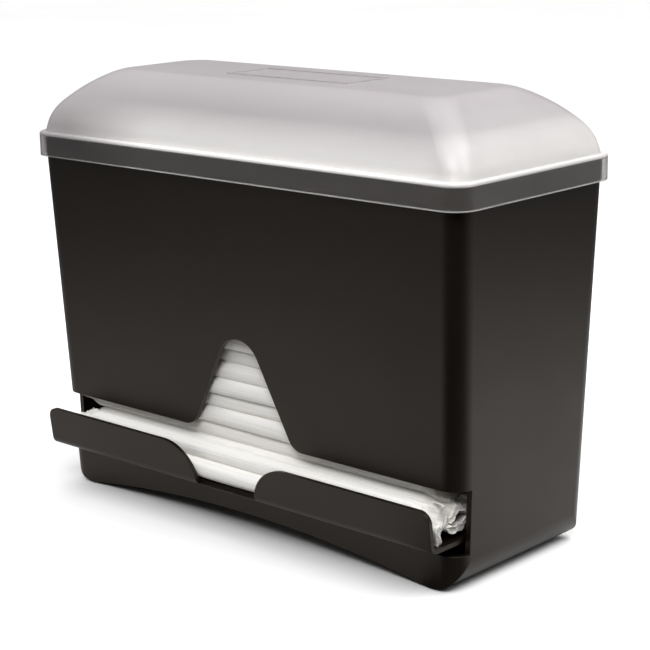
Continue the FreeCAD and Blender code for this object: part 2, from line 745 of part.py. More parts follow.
rib_back = deep_at(rib_heel, s.wall + s.ramp_gap)
rib_points = [
    (ramp_bend, pad), (rib_back - s.back_round, pad), (rib_back, rib_heel),
    (ramp_back, s.ramp_high - s.ramp_skin), (ramp_bend, s.tray_under - s.run),
]
for number, centre in enumerate((-s.post_x, -s.rib_inner, s.rib_inner, s.post_x)):
    rib_sketch = outline("rib_profile_%d" % number, SIDEWAYS, rib_points, (), (centre, 0.0, 0.0))
    ramp_parts.append(extrude("rib_%d" % number, rib_sketch, s.rib / 2, s.rib / 2))
pilots = []
pilot_long = s.screw_long - s.screw_seat + s.wall * 2
for number, (x, y) in enumerate(post_spots):
    ramp_parts.append(rod("post_%d" % number, x, y, pad, s.post_r, s.post_long))
    pilots.append(rod("post_pilot_%d" % number, x, y, pad - s.wall, s.screw_r + s.run, pilot_long + s.wall))
keep("hopper_ramp", cut("hopper_ramp", fuse("ramp_solid", ramp_parts), pilots))


# Torsion springs round the axle, the upper leg under the tray and the lower one on the tub floor
coil = s.axle_drop - s.leg_wire - s.spring_gap
coil_end = term(90.0)
coil_sweep = coil_end - s.coil_start + s.coil_turns * 360
coil_long = s.pitch * coil_sweep / 360
low_floor = floor_middle(s.coil_x) + s.wall / 2
low_drop = axle_z + coil * sine(s.coil_start) - low_floor - s.leg_wire - s.spring_gap
low_leg = low_drop / cosine(s.coil_start)


def spring(name, sign):
    start = s.coil_x if sign > 0 else -s.coil_x - coil_long
    helix = doc.addObject("Part::Helix", name + "_helix")
    bind(helix, "Pitch", s.pitch)
    bind(helix, "Height", coil_long)
    bind(helix, "Radius", coil)
    turned = SIDEWAYS.multiply(FreeCAD.Rotation(FreeCAD.Vector(0, 0, 1), s.coil_start.value))
    place(helix, start, s.axle_y, axle_z, turned)
    ring = doc.addObject("Part::RegularPolygon", name + "_ring")
    ring.Polygon = 8
    bind(ring, "Circumradius", s.wire)
    ring_y = s.axle_y + coil * cosine(s.coil_start)
    ring_z = axle_z + coil * sine(s.coil_start)
    place(ring, start, ring_y, ring_z, turned.multiply(UPRIGHT))
    sweep = doc.addObject("Part::Sweep", name + "_coil")
    sweep.Sections = [ring]
    sweep.Spine = (helix, ["Edge1"])
    sweep.Solid = True
    sweep.Frenet = True
    parts = [sweep]
    for mark, angle, along, side, length in (
        ("low", s.coil_start, start, -1, low_leg), ("high", coil_end, start + coil_long, 1, s.leg),
    ):
        away = cosine(angle + 90 * side)
        lift = sine(angle + 90 * side)
        turn = FreeCAD.Rotation(FreeCAD.Vector(0, 0, 1), FreeCAD.Vector(0, away.value, lift.value))
        leg_y = s.axle_y + coil * cosine(angle) - s.leg_root * away
        leg_z = axle_z + coil * sine(angle) - s.leg_root * lift
        parts.append(rod("%s_%s_leg" % (name, mark), along, leg_y, leg_z, s.leg_wire, length, turn))
    return fuse(name, parts)


keep("spring_left", spring("spring_left", -1))
keep("spring_right", spring("spring_right", 1))


# Rubber stops and feet
for word, sign in (("left", -1), ("right", 1)):
    name = "stop_pad_" + word
    keep(name, cone(
        name, stop_x * sign, stop_y, stop_seat, s.stop_r, s.stop_top, s.stop_tall,
    ))
for name, x, y in foot_spots:
    tip = cone(name + "_tip", x, y, term(0.0), s.foot_tip, s.foot_r, s.foot_taper)
    disc = rod(name + "_disc", x, y, s.foot_taper, s.foot_r, s.foot_high - s.foot_taper)
    keep(name, fuse(name, [tip, disc]))


# One wrapped straw: a round sleeve whose two paper ends are pressed flat
straw_step = s.straw_r * 2 + s.straw_gap
row_step = straw_step * cosine(term(30.0))
over_r = s.straw_r + s.straw_seat
flat_points = [
    (-s.wrap_half, -s.crimp), (-s.straw_half, -over_r), (s.straw_half, -over_r), (s.wrap_half, -s.crimp),
    (s.wrap_half, s.crimp), (s.straw_half, over_r), (-s.straw_half, over_r), (-s.wrap_half, s.crimp),
]
sleeve = rod("sleeve", -s.wrap_half, 0.0, 0.0, s.straw_r, s.wrap_half * 2, SIDEWAYS)
pressed = extrude("pressed", outline("pressed_outline", UPRIGHT, flat_points), straw_step, straw_step)
straw = common("straw", [sleeve, pressed])


def row_height(row):
    return tray_floor + s.straw_seat + s.straw_r + row_step * row


def fill_row(first, last):
    """Y of the straws that fit between a first one and a limit."""
    spots = []
    while first.value <= last.value:
        spots.append(first)
        first = first + straw_step
    return spots


def bunch(label, rows):
    """Straws lying side by side in rows, each shifted a little along its length."""
    straws = []
    for row, spots in rows:
        for y in spots:
            number = len(straws)
            copy = doc.addObject("App::Link", "%s_%d" % (label, number))
            copy.LinkedObject = straw
            shift = s.shuffle * (number * 3 % 5 - 1)
            place(copy, shift, y, row_height(row))
            straws.append(copy)
    group = doc.addObject("Part::Compound", label)
    group.Links = straws
    keep(label, group)


# Two rows in the tray; the heap behind them rests on the ramp and falls away to the back
tray_first = bend_centre - inner_bend + s.straw_side + s.straw_r
tray_last = s.axle_y - s.knuckle - straw_step
hopper_first = s.straw_side + s.straw_r - deep_at(slot_high, s.wall)
tray_rows = [
    (0, fill_row(tray_first, tray_last)),
    (1, fill_row(tray_first + straw_step / 2, tray_last - straw_step / 2)),
]
hopper_rows = []
row = 1
while True:
    height = row_height(row)
    slope_y = ramp_bend + (height - s.tray_under) * run_y / run_z
    on_ramp = slope_y - (s.straw_r + s.straw_gap) * slope_length / run_z
    on_heap = s.heap_foot - (height - s.heap_low) * s.heap_run
    last = on_ramp if on_ramp.value < on_heap.value else on_heap
    first = hopper_first
    if row == 1:
        first = hopper_first + straw_step * 2
    elif row % 2 == 0:
        first = hopper_first + straw_step / 2
    spots = fill_row(first, last)
    if not spots:
        break
    hopper_rows.append((row, spots))
    row += 1
bunch("straws_tray", tray_rows)
bunch("straws_hopper", hopper_rows)

doc.recompute()
os.makedirs("parts", exist_ok=True)
faults = []
for obj in doc.Objects:
    if "Invalid" in obj.State or "Error" in obj.State:
        faults.append("%s: %s" % (obj.Name, ", ".join(obj.State)))
for label, obj in nodes:
    shape = obj.Shape
    if shape.isNull() or not shape.isValid() or not shape.Solids:
        faults.append("%s: no valid solid" % label)
    elif shape.Volume <= 0:
        faults.append("%s: no volume" % label)
if faults:
    raise SystemExit("\n".join(faults))
for label, obj in nodes:
    obj.Shape.exportStep("parts/%s.step" % label)
    box = obj.Shape.BoundBox
    print("%-18s %2d solids  %7.1f %7.1f %7.1f  to %7.1f %7.1f %7.1f" % (
        label, len(obj.Shape.Solids), box.XMin, box.YMin, box.ZMin, box.XMax, box.YMax, box.ZMax,
    ))
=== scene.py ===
import json
import math
import random

import bmesh
import bpy
from mathutils import Euler, Matrix, Vector, noise


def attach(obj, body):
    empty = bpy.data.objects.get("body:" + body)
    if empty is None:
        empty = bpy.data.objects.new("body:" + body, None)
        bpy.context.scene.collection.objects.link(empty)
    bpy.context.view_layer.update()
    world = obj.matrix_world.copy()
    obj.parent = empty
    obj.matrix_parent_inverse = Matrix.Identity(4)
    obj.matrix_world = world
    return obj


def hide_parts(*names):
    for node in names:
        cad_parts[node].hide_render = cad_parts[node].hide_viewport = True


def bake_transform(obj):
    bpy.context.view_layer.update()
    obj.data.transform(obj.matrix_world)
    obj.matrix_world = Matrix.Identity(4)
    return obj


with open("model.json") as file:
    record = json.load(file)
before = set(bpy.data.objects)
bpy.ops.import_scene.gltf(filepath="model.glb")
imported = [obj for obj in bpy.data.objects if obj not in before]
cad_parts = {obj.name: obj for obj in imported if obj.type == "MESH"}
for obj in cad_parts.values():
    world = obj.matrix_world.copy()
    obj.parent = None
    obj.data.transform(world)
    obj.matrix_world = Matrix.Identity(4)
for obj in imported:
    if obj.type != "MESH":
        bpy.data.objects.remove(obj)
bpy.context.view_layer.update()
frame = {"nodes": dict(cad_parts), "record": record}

MM = 0.001

# Camera: bearing, height and roll in degrees, focal length in pixels of a 650 pixel wide frame
CAMERA_AZIMUTH = 42.698
CAMERA_ELEVATION = 14.008
CAMERA_ROLL = -1.027
CAMERA_PLACE = Vector((0.5487, -0.5853, 0.2862))
CAMERA_REACH = 50.0
FOCAL_PIXELS = 1835.56
FRAME_PIXELS = 650
SENSOR = 36.0

# Wrapped straws, in millimetres: the rows are those of the CAD solids
STRAW_RADIUS = 4.1
STRAW_HALF = 101.0
WRAP_HALF = 112.0
STRAW_STEP = 8.3
ROW_STEP = STRAW_STEP * math.cos(math.radians(30.0))
ROW_LOW = 27.16
TRAY_FIRST = -51.15
TRAY_COUNTS = (4, 3)
HOPPER_FIRST = -38.72
HOPPER_COUNTS = (5, 7, 8, 6, 5, 3, 2, 1)
FRONT_SHIFT = {2: -2.0, 4: -2.0, 6: -2.0, 7: 3.2, 8: -3.0}

# How the straws lie: shifts in millimetres, largest turn off their row in degrees
SHUFFLE = 0.7
SHUFFLE_ORDER = (-1, 2, 0, 3, 1)
TRAY_SHIFT = 2.6
STRAY = 0.6
SEAT_GAP = 0.1
SEEDS_PER_ROW = 40

# Sleeve: squareness of its section, then how much wider, flatter and more turned (radians) its ends
# are, how far inside the straw's end that begins, and how much a left end is shortened
SLEEVE_POWER = 2.35
END_WIDER = 0.36
END_FLATTER = 0.62
END_LEAD = 5.0
END_TURN = 1.45
UPRIGHT_TURN = 0.9
LEFT_TURN = 0.5
SHORT_LEFT = 0.4
RAGGED_POWER = 4
AROUND = 32
CRIMP_RINGS = 16
BODY_RINGS = 40

# Creases of a sleeve: depth, then pace along it, across it and from one straw to the next
SLACK = (0.030, 0.045, 1.5, 3.3)
FOLD = (1.1, 0.25, 0.55, 2.4)
RUCK = (1.3, 0.30, 0.38, 7.31)
FINE = (0.5, 0.9, 1.1, 5.7)
RAGGED = (1.3, 0.6, 0.6, 5.1)
SLACK_ROUND = 1.5
FINE_ROUND = 0.6
FINE_ASIDE = 9.0 / FINE[2]

# Torsion springs, in millimetres and degrees: the wire's middle
AXLE_Y = -12.0
AXLE_Z = 17.0
COIL_RADIUS = 3.2
COIL_PITCH = 1.5
COIL_FIRST = -75.0
COIL_LAST = 1530.0
COIL_STEP = 15.0
COIL_LONG = COIL_PITCH * (COIL_LAST - COIL_FIRST) / 360.0
COIL_X = 42.0
LOW_LEG = 12.1
HIGH_LEG = 12.7
LEG_STEPS = 6
WIRE_RADIUS = 0.47
WIRE_SIDES = 12
WIRE_END = 0.8

# Heights and places across the lid where its material changes, and where painted light whitens its dome low
# down and at its right end
LEDGE = 169.8 * MM
LEDGE_FADE = (LEDGE - 1.7 * MM, LEDGE - 1.1 * MM)
SKIRT_LOW = 158.7 * MM
SKIRT_FADE = (SKIRT_LOW + 0.1 * MM, SKIRT_LOW + 0.7 * MM)
PAINTED_LIGHT_BAND = (LEDGE + 5.0 * MM, LEDGE + 17.0 * MM)
PAINTED_LIGHT_LEFT = (-104.0 * MM, -50.0 * MM)
PAINTED_LIGHT_RIGHT = (106.0 * MM, 122.0 * MM)

# Lid: how much painted light whitens its low band at each end and its right end, how clear and how rough
# its parts are, its faint clouds
LEFT_LIGHT_SHARE = 0.1
RIGHT_LIGHT_SHARE = 0.5
END_LIGHT_SHARE = 0.4
SKIRT_MILK = 0.6
DOME_CLEAR = 0.60
BAND_CLEAR = 0.16
SKIRT_CLEAR = 0.985
DOME_ROUGH = 0.42
SKIRT_ROUGH = 0.16
LID_IOR = 1.49
MOTTLE = 0.08
MOTTLE_REACH = (0.75, 1.25)

# Paper: where it turns to empty ends, and how much each thing adds to its tone and to its relief; the
# greying of the ends and the tone of the creases are painted shade
SHADED_ENDS = (99.0 * MM, 107.0 * MM)
END_SHADE_SHARE = 0.5
FULL_SPOT = 0.4
CREASE_SHADE_SHARE = 0.42
STRAW_SHARE = 0.18
CRUMPLE_SHARE = 0.35
FIBRE_SHARE = 0.08

# Tones of each material, from its darkest to its lightest
BODY_TONES = ((0.0024, 0.0015, 0.0010), (0.0036, 0.0024, 0.0017))
INNER_TONES = ((0.0046, 0.0035, 0.0029), (0.0060, 0.0046, 0.0038))
LID_TONES = ((0.62, 0.585, 0.595), (0.91, 0.89, 0.875))
# The paper's darker tones carry its painted shade
PAPER_TONES = ((0.55, 0.53, 0.505), (0.79, 0.765, 0.72), (0.885, 0.88, 0.87))
STEEL_TONES = ((0.476, 0.4675, 0.4505), (0.56, 0.55, 0.53))
RUBBER_TONES = ((0.010, 0.010, 0.010), (0.024, 0.023, 0.022))
FLOOR_TONES = ((0.90, 0.90, 0.90), (0.92, 0.92, 0.92))
PLASTIC_TINT = (1.0, 0.85, 0.72, 1.0)

# Softened edges, and where most of a noise texture's values lie
EDGE = 0.5 * MM
EDGE_SAMPLES = 4
MOST_NOISE = (0.3, 0.7)

# Studio: bearing of the dark side, light from the sky and from that side, what the floor gives back as
# painted light, with its painted pool of light
DARK_BEARING = math.radians(42.7)
DARK_SPREAD = (0.15, 0.80)
SKY_LIGHT = 0.20
DARK_LIGHT = 0.03
FLOOR_BOUNCE = 0.53
DARK_BOUNCE = 0.03
FAR_BOUNCE = 0.1
BOUNCE_REACH = (0.18, 0.75)
POOL_PLACE = (0.26, 0.14, 0.0)
POOL_REACH = (0.05, 0.34)
POOL_BOUNCE = 0.17
NEAR_CORNER = (0.10, -0.04, 0.0)
FLOOR_HALF = 12.0
SUN_LIGHT = 2.9
SUN_SPREAD = math.radians(90.0)
SEEN_SKY = 0.965
THROUGH_LID = 0.4

# Softboxes: place, the point each one faces, side in metres, power in watts
SOFTBOXES = {
    "key": ((0.58, -0.88, 1.00), (0.0, 0.0, 0.10), 0.55, 10.5),
    "right": ((0.95, 0.30, 1.15), (0.0, 0.0, 0.12), 0.9, 8.0),
    "top": ((0.1, 0.5, 1.3), (0.0, 0.0, 0.1), 1.0, 2.5),
}

# A Mix node's sockets for numbers and for colours have the same names, so they are taken by their place
NUMBER_A, NUMBER_B, NUMBER_OUT = 2, 3, 0
COLOUR_A, COLOUR_B, COLOUR_OUT = 6, 7, 2


# Node helpers
def set_range(node, reach, result):
    """Fills in the four ends of a Map Range node."""
    for name, number in zip(("From Min", "From Max", "To Min", "To Max"), (*reach, *result)):
        node.inputs[name].default_value = number


class Shader:
    """A node material with one Principled shader, textured in the object's own coordinates."""

    def __init__(self, name):
        self.material = bpy.data.materials.new(name)
        self.material.use_nodes = True
        self.tree = self.material.node_tree
        self.tree.nodes.clear()
        self.output = self.add("ShaderNodeOutputMaterial")
        self.principled = self.add("ShaderNodeBsdfPrincipled")
        self.link(self.principled.outputs["BSDF"], self.output.inputs["Surface"])
        self.place = self.add("ShaderNodeTexCoord").outputs["Object"]

    def add(self, kind, **values):
        node = self.tree.nodes.new(kind)
        for name, value in values.items():
            setattr(node, name, value)
        return node

    def link(self, source, target):
        self.tree.links.new(source, target)

    def feed(self, name, source):
        """Leads an output into a socket of the Principled shader."""
        self.link(source, self.principled.inputs[name])

    def set(self, **values):
        """Sets sockets of the Principled shader; an underscore stands for a space."""
        for name, value in values.items():
            self.principled.inputs[name.replace("_", " ")].default_value = value

    def stretched(self, scale):
        mapping = self.add("ShaderNodeMapping")
        mapping.inputs["Scale"].default_value = scale
        self.link(self.place, mapping.inputs["Vector"])
        return mapping.outputs["Vector"]

    def grain(self, scale, detail=3.0, rough=0.5, vector=None):
        node = self.add("ShaderNodeTexNoise")
        node.inputs["Scale"].default_value = scale
        node.inputs["Detail"].default_value = detail
        node.inputs["Roughness"].default_value = rough
        self.link(vector or self.place, node.inputs["Vector"])
        return node.outputs["Fac"]

    def ramp(self, factor, spots, tones):
        """A colour that passes through each tone where the factor reaches its spot."""
        node = self.add("ShaderNodeValToRGB")
        ramp = node.color_ramp
        while len(ramp.elements) < len(tones):
            ramp.elements.new(0.5)
        for element, spot, tone in zip(ramp.elements, spots, tones):
            element.position = spot
            element.color = (*tone, 1.0)
        self.link(factor, node.inputs["Fac"])
        return node.outputs["Color"]

    def spread(self, value, reach, result):
        """Goes from the result's first number to its second over the reach, and stays level outside."""
        node = self.add("ShaderNodeMapRange")
        set_range(node, reach, result)
        self.link(value, node.inputs["Value"])
        return node.outputs["Result"]

    def split(self):
        node = self.add("ShaderNodeSeparateXYZ")
        self.link(self.place, node.inputs["Vector"])
        return node.outputs

    def calc(self, operation, a, b=0.0):
        node = self.add("ShaderNodeMath", operation=operation)
        self.link(a, node.inputs[0])
        if isinstance(b, float):
            node.inputs[1].default_value = b
        else:
            self.link(b, node.inputs[1])
        return node.outputs["Value"]

    def sum(self, a, b):
        return self.calc("ADD", a, b)

    def product(self, a, b):
        return self.calc("MULTIPLY", a, b)

    def bump(self, height, distance, strength, edge=None):
        node = self.add("ShaderNodeBump")
        node.inputs["Strength"].default_value = strength
        node.inputs["Distance"].default_value = distance
        self.link(height, node.inputs["Height"])
        if edge:
            round_edge = self.add("ShaderNodeBevel", samples=EDGE_SAMPLES)
            round_edge.inputs["Radius"].default_value = edge
            self.link(round_edge.outputs["Normal"], node.inputs["Normal"])
        self.feed("Normal", node.outputs["Normal"])


def moulded_plastic(name, tones, rough):
    """Dark satin plastic with a spark-eroded grain and faint flow marks."""
    shader = Shader(name)
    flow = shader.grain(scale=9.0, detail=2.0, vector=shader.stretched((1.0, 1.0, 0.35)))
    shader.feed("Base Color", shader.ramp(flow, MOST_NOISE, tones))
    cloud = shader.grain(scale=38.0, detail=4.0, rough=0.6)
    shader.feed("Roughness", shader.spread(cloud, MOST_NOISE, (rough - 0.03, rough + 0.04)))
    shader.set(Specular_IOR_Level=0.45, Specular_Tint=PLASTIC_TINT)
    eroded = shader.grain(scale=2600.0, detail=2.0, rough=0.6)
    shader.bump(eroded, distance=0.03 * MM, strength=0.45, edge=EDGE)
    return shader.material


def frosted_plastic(name):
    """Cloudy see-through plastic: the frosted dome is painted whiter low down and at its right end, as
    painted light; the skirt under the ledge is nearly clear."""
    shader = Shader(name)
    place = shader.split()
    across, height = place["X"], place["Z"]
    cloud = shader.grain(scale=14.0, rough=0.55)
    streak = shader.grain(scale=90.0, rough=0.6, vector=shader.stretched((0.08, 0.6, 1.0)))
    mottle = shader.spread(shader.sum(cloud, streak), MOTTLE_REACH, (-MOTTLE, MOTTLE))

    # Painted light: the dome's low band is whitened where light falls on it, less towards its left end
    low = shader.spread(height, PAINTED_LIGHT_BAND, (1.0, 0.0))
    left = shader.spread(across, PAINTED_LIGHT_LEFT, (LEFT_LIGHT_SHARE, 1.0))
    right = shader.spread(across, PAINTED_LIGHT_RIGHT, (1.0, RIGHT_LIGHT_SHARE))
    painted_low_light = shader.product(low, shader.product(left, right))
    # Painted light: the dome's right end is whitened as if lit from the right
    painted_end_light = shader.spread(across, PAINTED_LIGHT_RIGHT, (0.0, END_LIGHT_SHARE))
    tone = shader.sum(shader.sum(painted_low_light, mottle), painted_end_light)
    shader.feed("Base Color", shader.ramp(tone, (0.0, 1.0), LID_TONES))

    above = shader.spread(height, LEDGE_FADE, (0.0, 1.0))
    below = shader.spread(height, SKIRT_FADE, (SKIRT_MILK, 0.0))
    milky = shader.sum(above, below)
    rough = shader.spread(milky, (0.0, 1.0), (SKIRT_ROUGH, DOME_ROUGH))
    wander = shader.spread(cloud, MOST_NOISE, (-0.02, 0.03))
    shader.feed("Roughness", shader.sum(rough, wander))

    # The painted light band is also made less clear, which whitens it further
    in_dome = shader.product(shader.spread(painted_low_light, (0.0, 1.0), (DOME_CLEAR, BAND_CLEAR)), milky)
    in_skirt = shader.spread(milky, (0.0, 1.0), (SKIRT_CLEAR, 0.0))
    shader.feed("Transmission Weight", shader.sum(in_dome, in_skirt))
    shader.set(IOR=LID_IOR)
    satin = shader.grain(scale=1800.0, detail=2.0, rough=0.6)
    shader.bump(satin, distance=0.02 * MM, strength=0.35, edge=EDGE)
    return shader.material


def wrapping_paper(name):
    """Thin white paper with long soft creases and a fibrous surface; painted shade darkens its creases and
    greys its empty ends.
    """
    shader = Shader(name)
    island = shader.add("ShaderNodeNewGeometry").outputs["Random Per Island"]
    crease = shader.grain(scale=900.0, detail=4.0, rough=0.6, vector=shader.stretched((0.02, 1.0, 1.0)))
    crumple = shader.grain(scale=300.0, rough=0.6)
    fibre = shader.grain(scale=5200.0, rough=0.7)

    # Painted shade: the crease noise darkens the paper along its creases
    painted_crease_shade = shader.spread(crease, (0.35, 0.65), (FULL_SPOT, FULL_SPOT + CREASE_SHADE_SHARE))
    from_straw = shader.spread(island, (0.0, 1.0), (0.0, STRAW_SHARE))
    outward = shader.calc("ABSOLUTE", shader.split()["X"])
    # Painted shade: the empty ends are painted greyer
    empty = shader.spread(outward, SHADED_ENDS, (0.0, -END_SHADE_SHARE))
    tone = shader.sum(shader.sum(painted_crease_shade, from_straw), empty)
    shader.feed("Base Color", shader.ramp(tone, (0.0, FULL_SPOT, 1.0), PAPER_TONES))

    shader.feed("Roughness", shader.spread(fibre, MOST_NOISE, (0.62, 0.78)))
    shader.set(Specular_IOR_Level=0.3)
    relief = shader.sum(crease, shader.product(crumple, CRUMPLE_SHARE))
    relief = shader.sum(relief, shader.product(fibre, FIBRE_SHARE))
    shader.bump(relief, distance=0.5 * MM, strength=0.7)
    return shader.material


def spring_steel(name, tones, rough):
    """Drawn or turned steel with fine lines round it."""
    shader = Shader(name)
    lines = shader.grain(scale=3000.0, detail=2.0, vector=shader.stretched((1.0, 0.1, 0.1)))
    shader.feed("Base Color", shader.ramp(lines, MOST_NOISE, tones))
    shader.feed("Roughness", shader.spread(lines, MOST_NOISE, (rough - 0.06, rough + 0.08)))
    shader.set(Metallic=1.0)
    shader.bump(lines, distance=0.01 * MM, strength=0.4)
    return shader.material


def soft_rubber(name, tones):
    """Dull black rubber with a powdery surface."""
    shader = Shader(name)
    dust = shader.grain(scale=420.0, detail=4.0, rough=0.7)
    shader.feed("Base Color", shader.ramp(dust, (0.35, 0.75), tones))
    shader.feed("Roughness", shader.spread(dust, MOST_NOISE, (0.72, 0.86)))
    shader.set(Specular_IOR_Level=0.3)
    shader.bump(shader.grain(scale=1500.0, rough=0.6), distance=0.04 * MM, strength=0.4)
    return shader.material


# Materials of the CAD nodes
BY_SLOT = {
    "body_plastic": moulded_plastic("body_plastic", BODY_TONES, rough=0.38),
    "inner_plastic": moulded_plastic("inner_plastic", INNER_TONES, rough=0.44),
    "frosted": frosted_plastic("frosted_plastic"),
    "steel": spring_steel("steel", STEEL_TONES, rough=0.28),
    "rubber": soft_rubber("rubber", RUBBER_TONES),
    "paper": wrapping_paper("paper"),
}
slot_of = {part["node"]: part["material_slot"] for part in frame["record"]["subparts"]}
for node, obj in frame["nodes"].items():
    for slot in obj.material_slots:
        slot.material = BY_SLOT[slot_of[node]]


# Mesh helpers
def add_object(name, data):
    obj = bpy.data.objects.new(name, data)
    bpy.context.scene.collection.objects.link(obj)
    return obj


def made_of(name, mesh, material):
    """An object from a mesh that has been built up."""
    data = bpy.data.meshes.new(name)
    mesh.to_mesh(data)
    mesh.free()
    data.materials.append(material)
    return add_object(name, data)


def skin(mesh, rings):
    """A smooth wall over a row of rings, and a flat face over each end."""
    around = len(rings[0])
    for low, high in zip(rings, rings[1:]):
        for i in range(around):
            j = (i + 1) % around
            mesh.faces.new((low[i], low[j], high[j], high[i])).smooth = True
    mesh.faces.new(rings[0][::-1])
    mesh.faces.new(rings[-1])


# Wrapped straws
def smooth_step(t):
    t = min(max(t, 0.0), 1.0)
    return t * t * (3.0 - 2.0 * t)


def straw_rings():
    """Stations along a straw, closer together in its two flattened ends."""
    empty = WRAP_HALF - STRAW_HALF
    left = [-WRAP_HALF + empty * i / CRIMP_RINGS for i in range(CRIMP_RINGS)]
    filled = [-STRAW_HALF + 2.0 * STRAW_HALF * i / BODY_RINGS for i in range(BODY_RINGS + 1)]
    right = [STRAW_HALF + empty * i / CRIMP_RINGS for i in range(1, CRIMP_RINGS + 1)]
    return left + filled + right


def wrinkle(kind, along, across, seed, extra):
    """Smooth noise of one kind of crease."""
    depth, along_pace, across_pace, seed_pace = kind
    spot = Vector((along * along_pace, across * across_pace, seed * seed_pace + extra))
    return depth * noise.noise(spot)


def sleeve_point(along, angle, seed, roll):
    """A point of the paper sleeve: loosely round in the middle, flat, wide and crumpled at the ends."""
    end = 1.0 if along > 0 else -1.0
    flat = smooth_step((abs(along) - STRAW_HALF + END_LEAD) / (WRAP_HALF - STRAW_HALF))
    wide, high = math.cos(angle), math.sin(angle)
    boxy = (abs(wide) ** SLEEVE_POWER + abs(high) ** SLEEVE_POWER) ** (-1.0 / SLEEVE_POWER)
    slack = 1.0 + wrinkle(SLACK, along, wide, seed, high * SLACK_ROUND)
    across = STRAW_RADIUS * boxy * slack * wide * (1.0 + END_WIDER * flat)
    up = STRAW_RADIUS * boxy * slack * high * (1.0 - END_FLATTER * flat)

    depth, along_pace, across_pace, seed_pace = FOLD
    fold = math.sin(across * across_pace + along * along_pace + seed * seed_pace + end) * depth
    ruck = wrinkle(RUCK, along, across, seed, end)
    fine = wrinkle(FINE, along, across + FINE_ASIDE, seed, high * FINE_ROUND)
    up += flat * (fold + ruck + fine)

    turn = roll * flat
    side = across * math.cos(turn) - up * math.sin(turn)
    rise = across * math.sin(turn) + up * math.cos(turn)
    rise = min(max(rise, -STRAW_RADIUS), STRAW_RADIUS * (1.0 + END_WIDER))
    side = max(side, -STRAW_RADIUS)
    ragged = flat ** RAGGED_POWER * wrinkle(RAGGED, side, rise, seed, end)
    return Vector((along + ragged * end, side, rise))


def add_straw(mesh, place, yaw, tilt, seed, in_front, short_left):
    """One straw; the right end of a straw in front stands more upright."""
    chance = random.Random(seed)
    least = UPRIGHT_TURN if in_front else -END_TURN
    rolls = {-1.0: chance.uniform(-LEFT_TURN, LEFT_TURN), 1.0: chance.uniform(least, END_TURN)}
    turned = Matrix.Translation(place) @ Euler((0.0, tilt, yaw)).to_matrix().to_4x4()
    rings = []
    for along in straw_rings():
        shorter = max(-along - STRAW_HALF, 0.0) * short_left
        ring = []
        for i in range(AROUND):
            point = sleeve_point(along, math.tau * i / AROUND, seed, rolls[math.copysign(1.0, along)])
            point.x += shorter
            ring.append(mesh.verts.new((turned @ point) * MM))
        rings.append(ring)
    skin(mesh, rings)


def bunch(name, rows, node, body):
    """The straws of all rows as one piece; each row is its number, its first straw's Y and a count."""
    in_tray = node == "straws_tray"
    mesh = bmesh.new()
    number = 0
    for row, first, count in rows:
        first += 0.0 if in_tray else FRONT_SHIFT.get(row, 0.0)
        for step in range(count):
            chance = random.Random("%s %d" % (name, number))
            yaw = math.radians(chance.uniform(-STRAY, STRAY))
            tilt = math.radians(chance.uniform(-STRAY, STRAY) / 2)
            shift = TRAY_SHIFT if in_tray else SHUFFLE * SHUFFLE_ORDER[number % len(SHUFFLE_ORDER)]
            inward = abs(yaw) * WRAP_HALF if step == 0 else 0.0
            lift = abs(tilt) * WRAP_HALF + SEAT_GAP if row == 0 else 0.0
            place = Vector((shift, first + STRAW_STEP * step + inward, ROW_LOW + ROW_STEP * row + lift))
            short_left = SHORT_LEFT if in_tray else 0.0
            add_straw(mesh, place, yaw, tilt, number + len(rows) * SEEDS_PER_ROW, step == 0, short_left)
            number += 1
    obj = made_of(name, mesh, BY_SLOT["paper"])
    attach(obj, body)
    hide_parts(node)


tray_rows = [(row, TRAY_FIRST + STRAW_STEP / 2 * row, count) for row, count in enumerate(TRAY_COUNTS)]
hopper_rows = []
for row, count in enumerate(HOPPER_COUNTS, 1):
    set_back = STRAW_STEP * 2 if row == 1 else STRAW_STEP / 2 * (row % 2 == 0)
    hopper_rows.append((row, HOPPER_FIRST + set_back, count))
bunch("wrapped_straws_tray", tray_rows, "straws_tray", "lever")
bunch("wrapped_straws_hopper", hopper_rows, "straws_hopper", "tub")


# Torsion springs
def spring_path(start):
    """The wire's middle: lower leg, coil round the axle, upper leg."""
    def on_coil(angle):
        along = start + COIL_PITCH * (angle - COIL_FIRST) / 360.0
        turn = math.radians(angle)
        return Vector((along, AXLE_Y + COIL_RADIUS * math.cos(turn), AXLE_Z + COIL_RADIUS * math.sin(turn)))

    def leg(angle, side):
        turn = math.radians(angle + 90.0 * side)
        return Vector((0.0, math.cos(turn), math.sin(turn)))

    steps = round((COIL_LAST - COIL_FIRST) / COIL_STEP)
    coil = [on_coil(COIL_FIRST + (COIL_LAST - COIL_FIRST) * i / steps) for i in range(steps + 1)]
    low = [coil[0] + leg(COIL_FIRST, -1) * LOW_LEG * i / LEG_STEPS for i in range(LEG_STEPS, 0, -1)]
    high = [coil[-1] + leg(COIL_LAST, 1) * HIGH_LEG * i / LEG_STEPS for i in range(1, LEG_STEPS + 1)]
    return low + coil + high


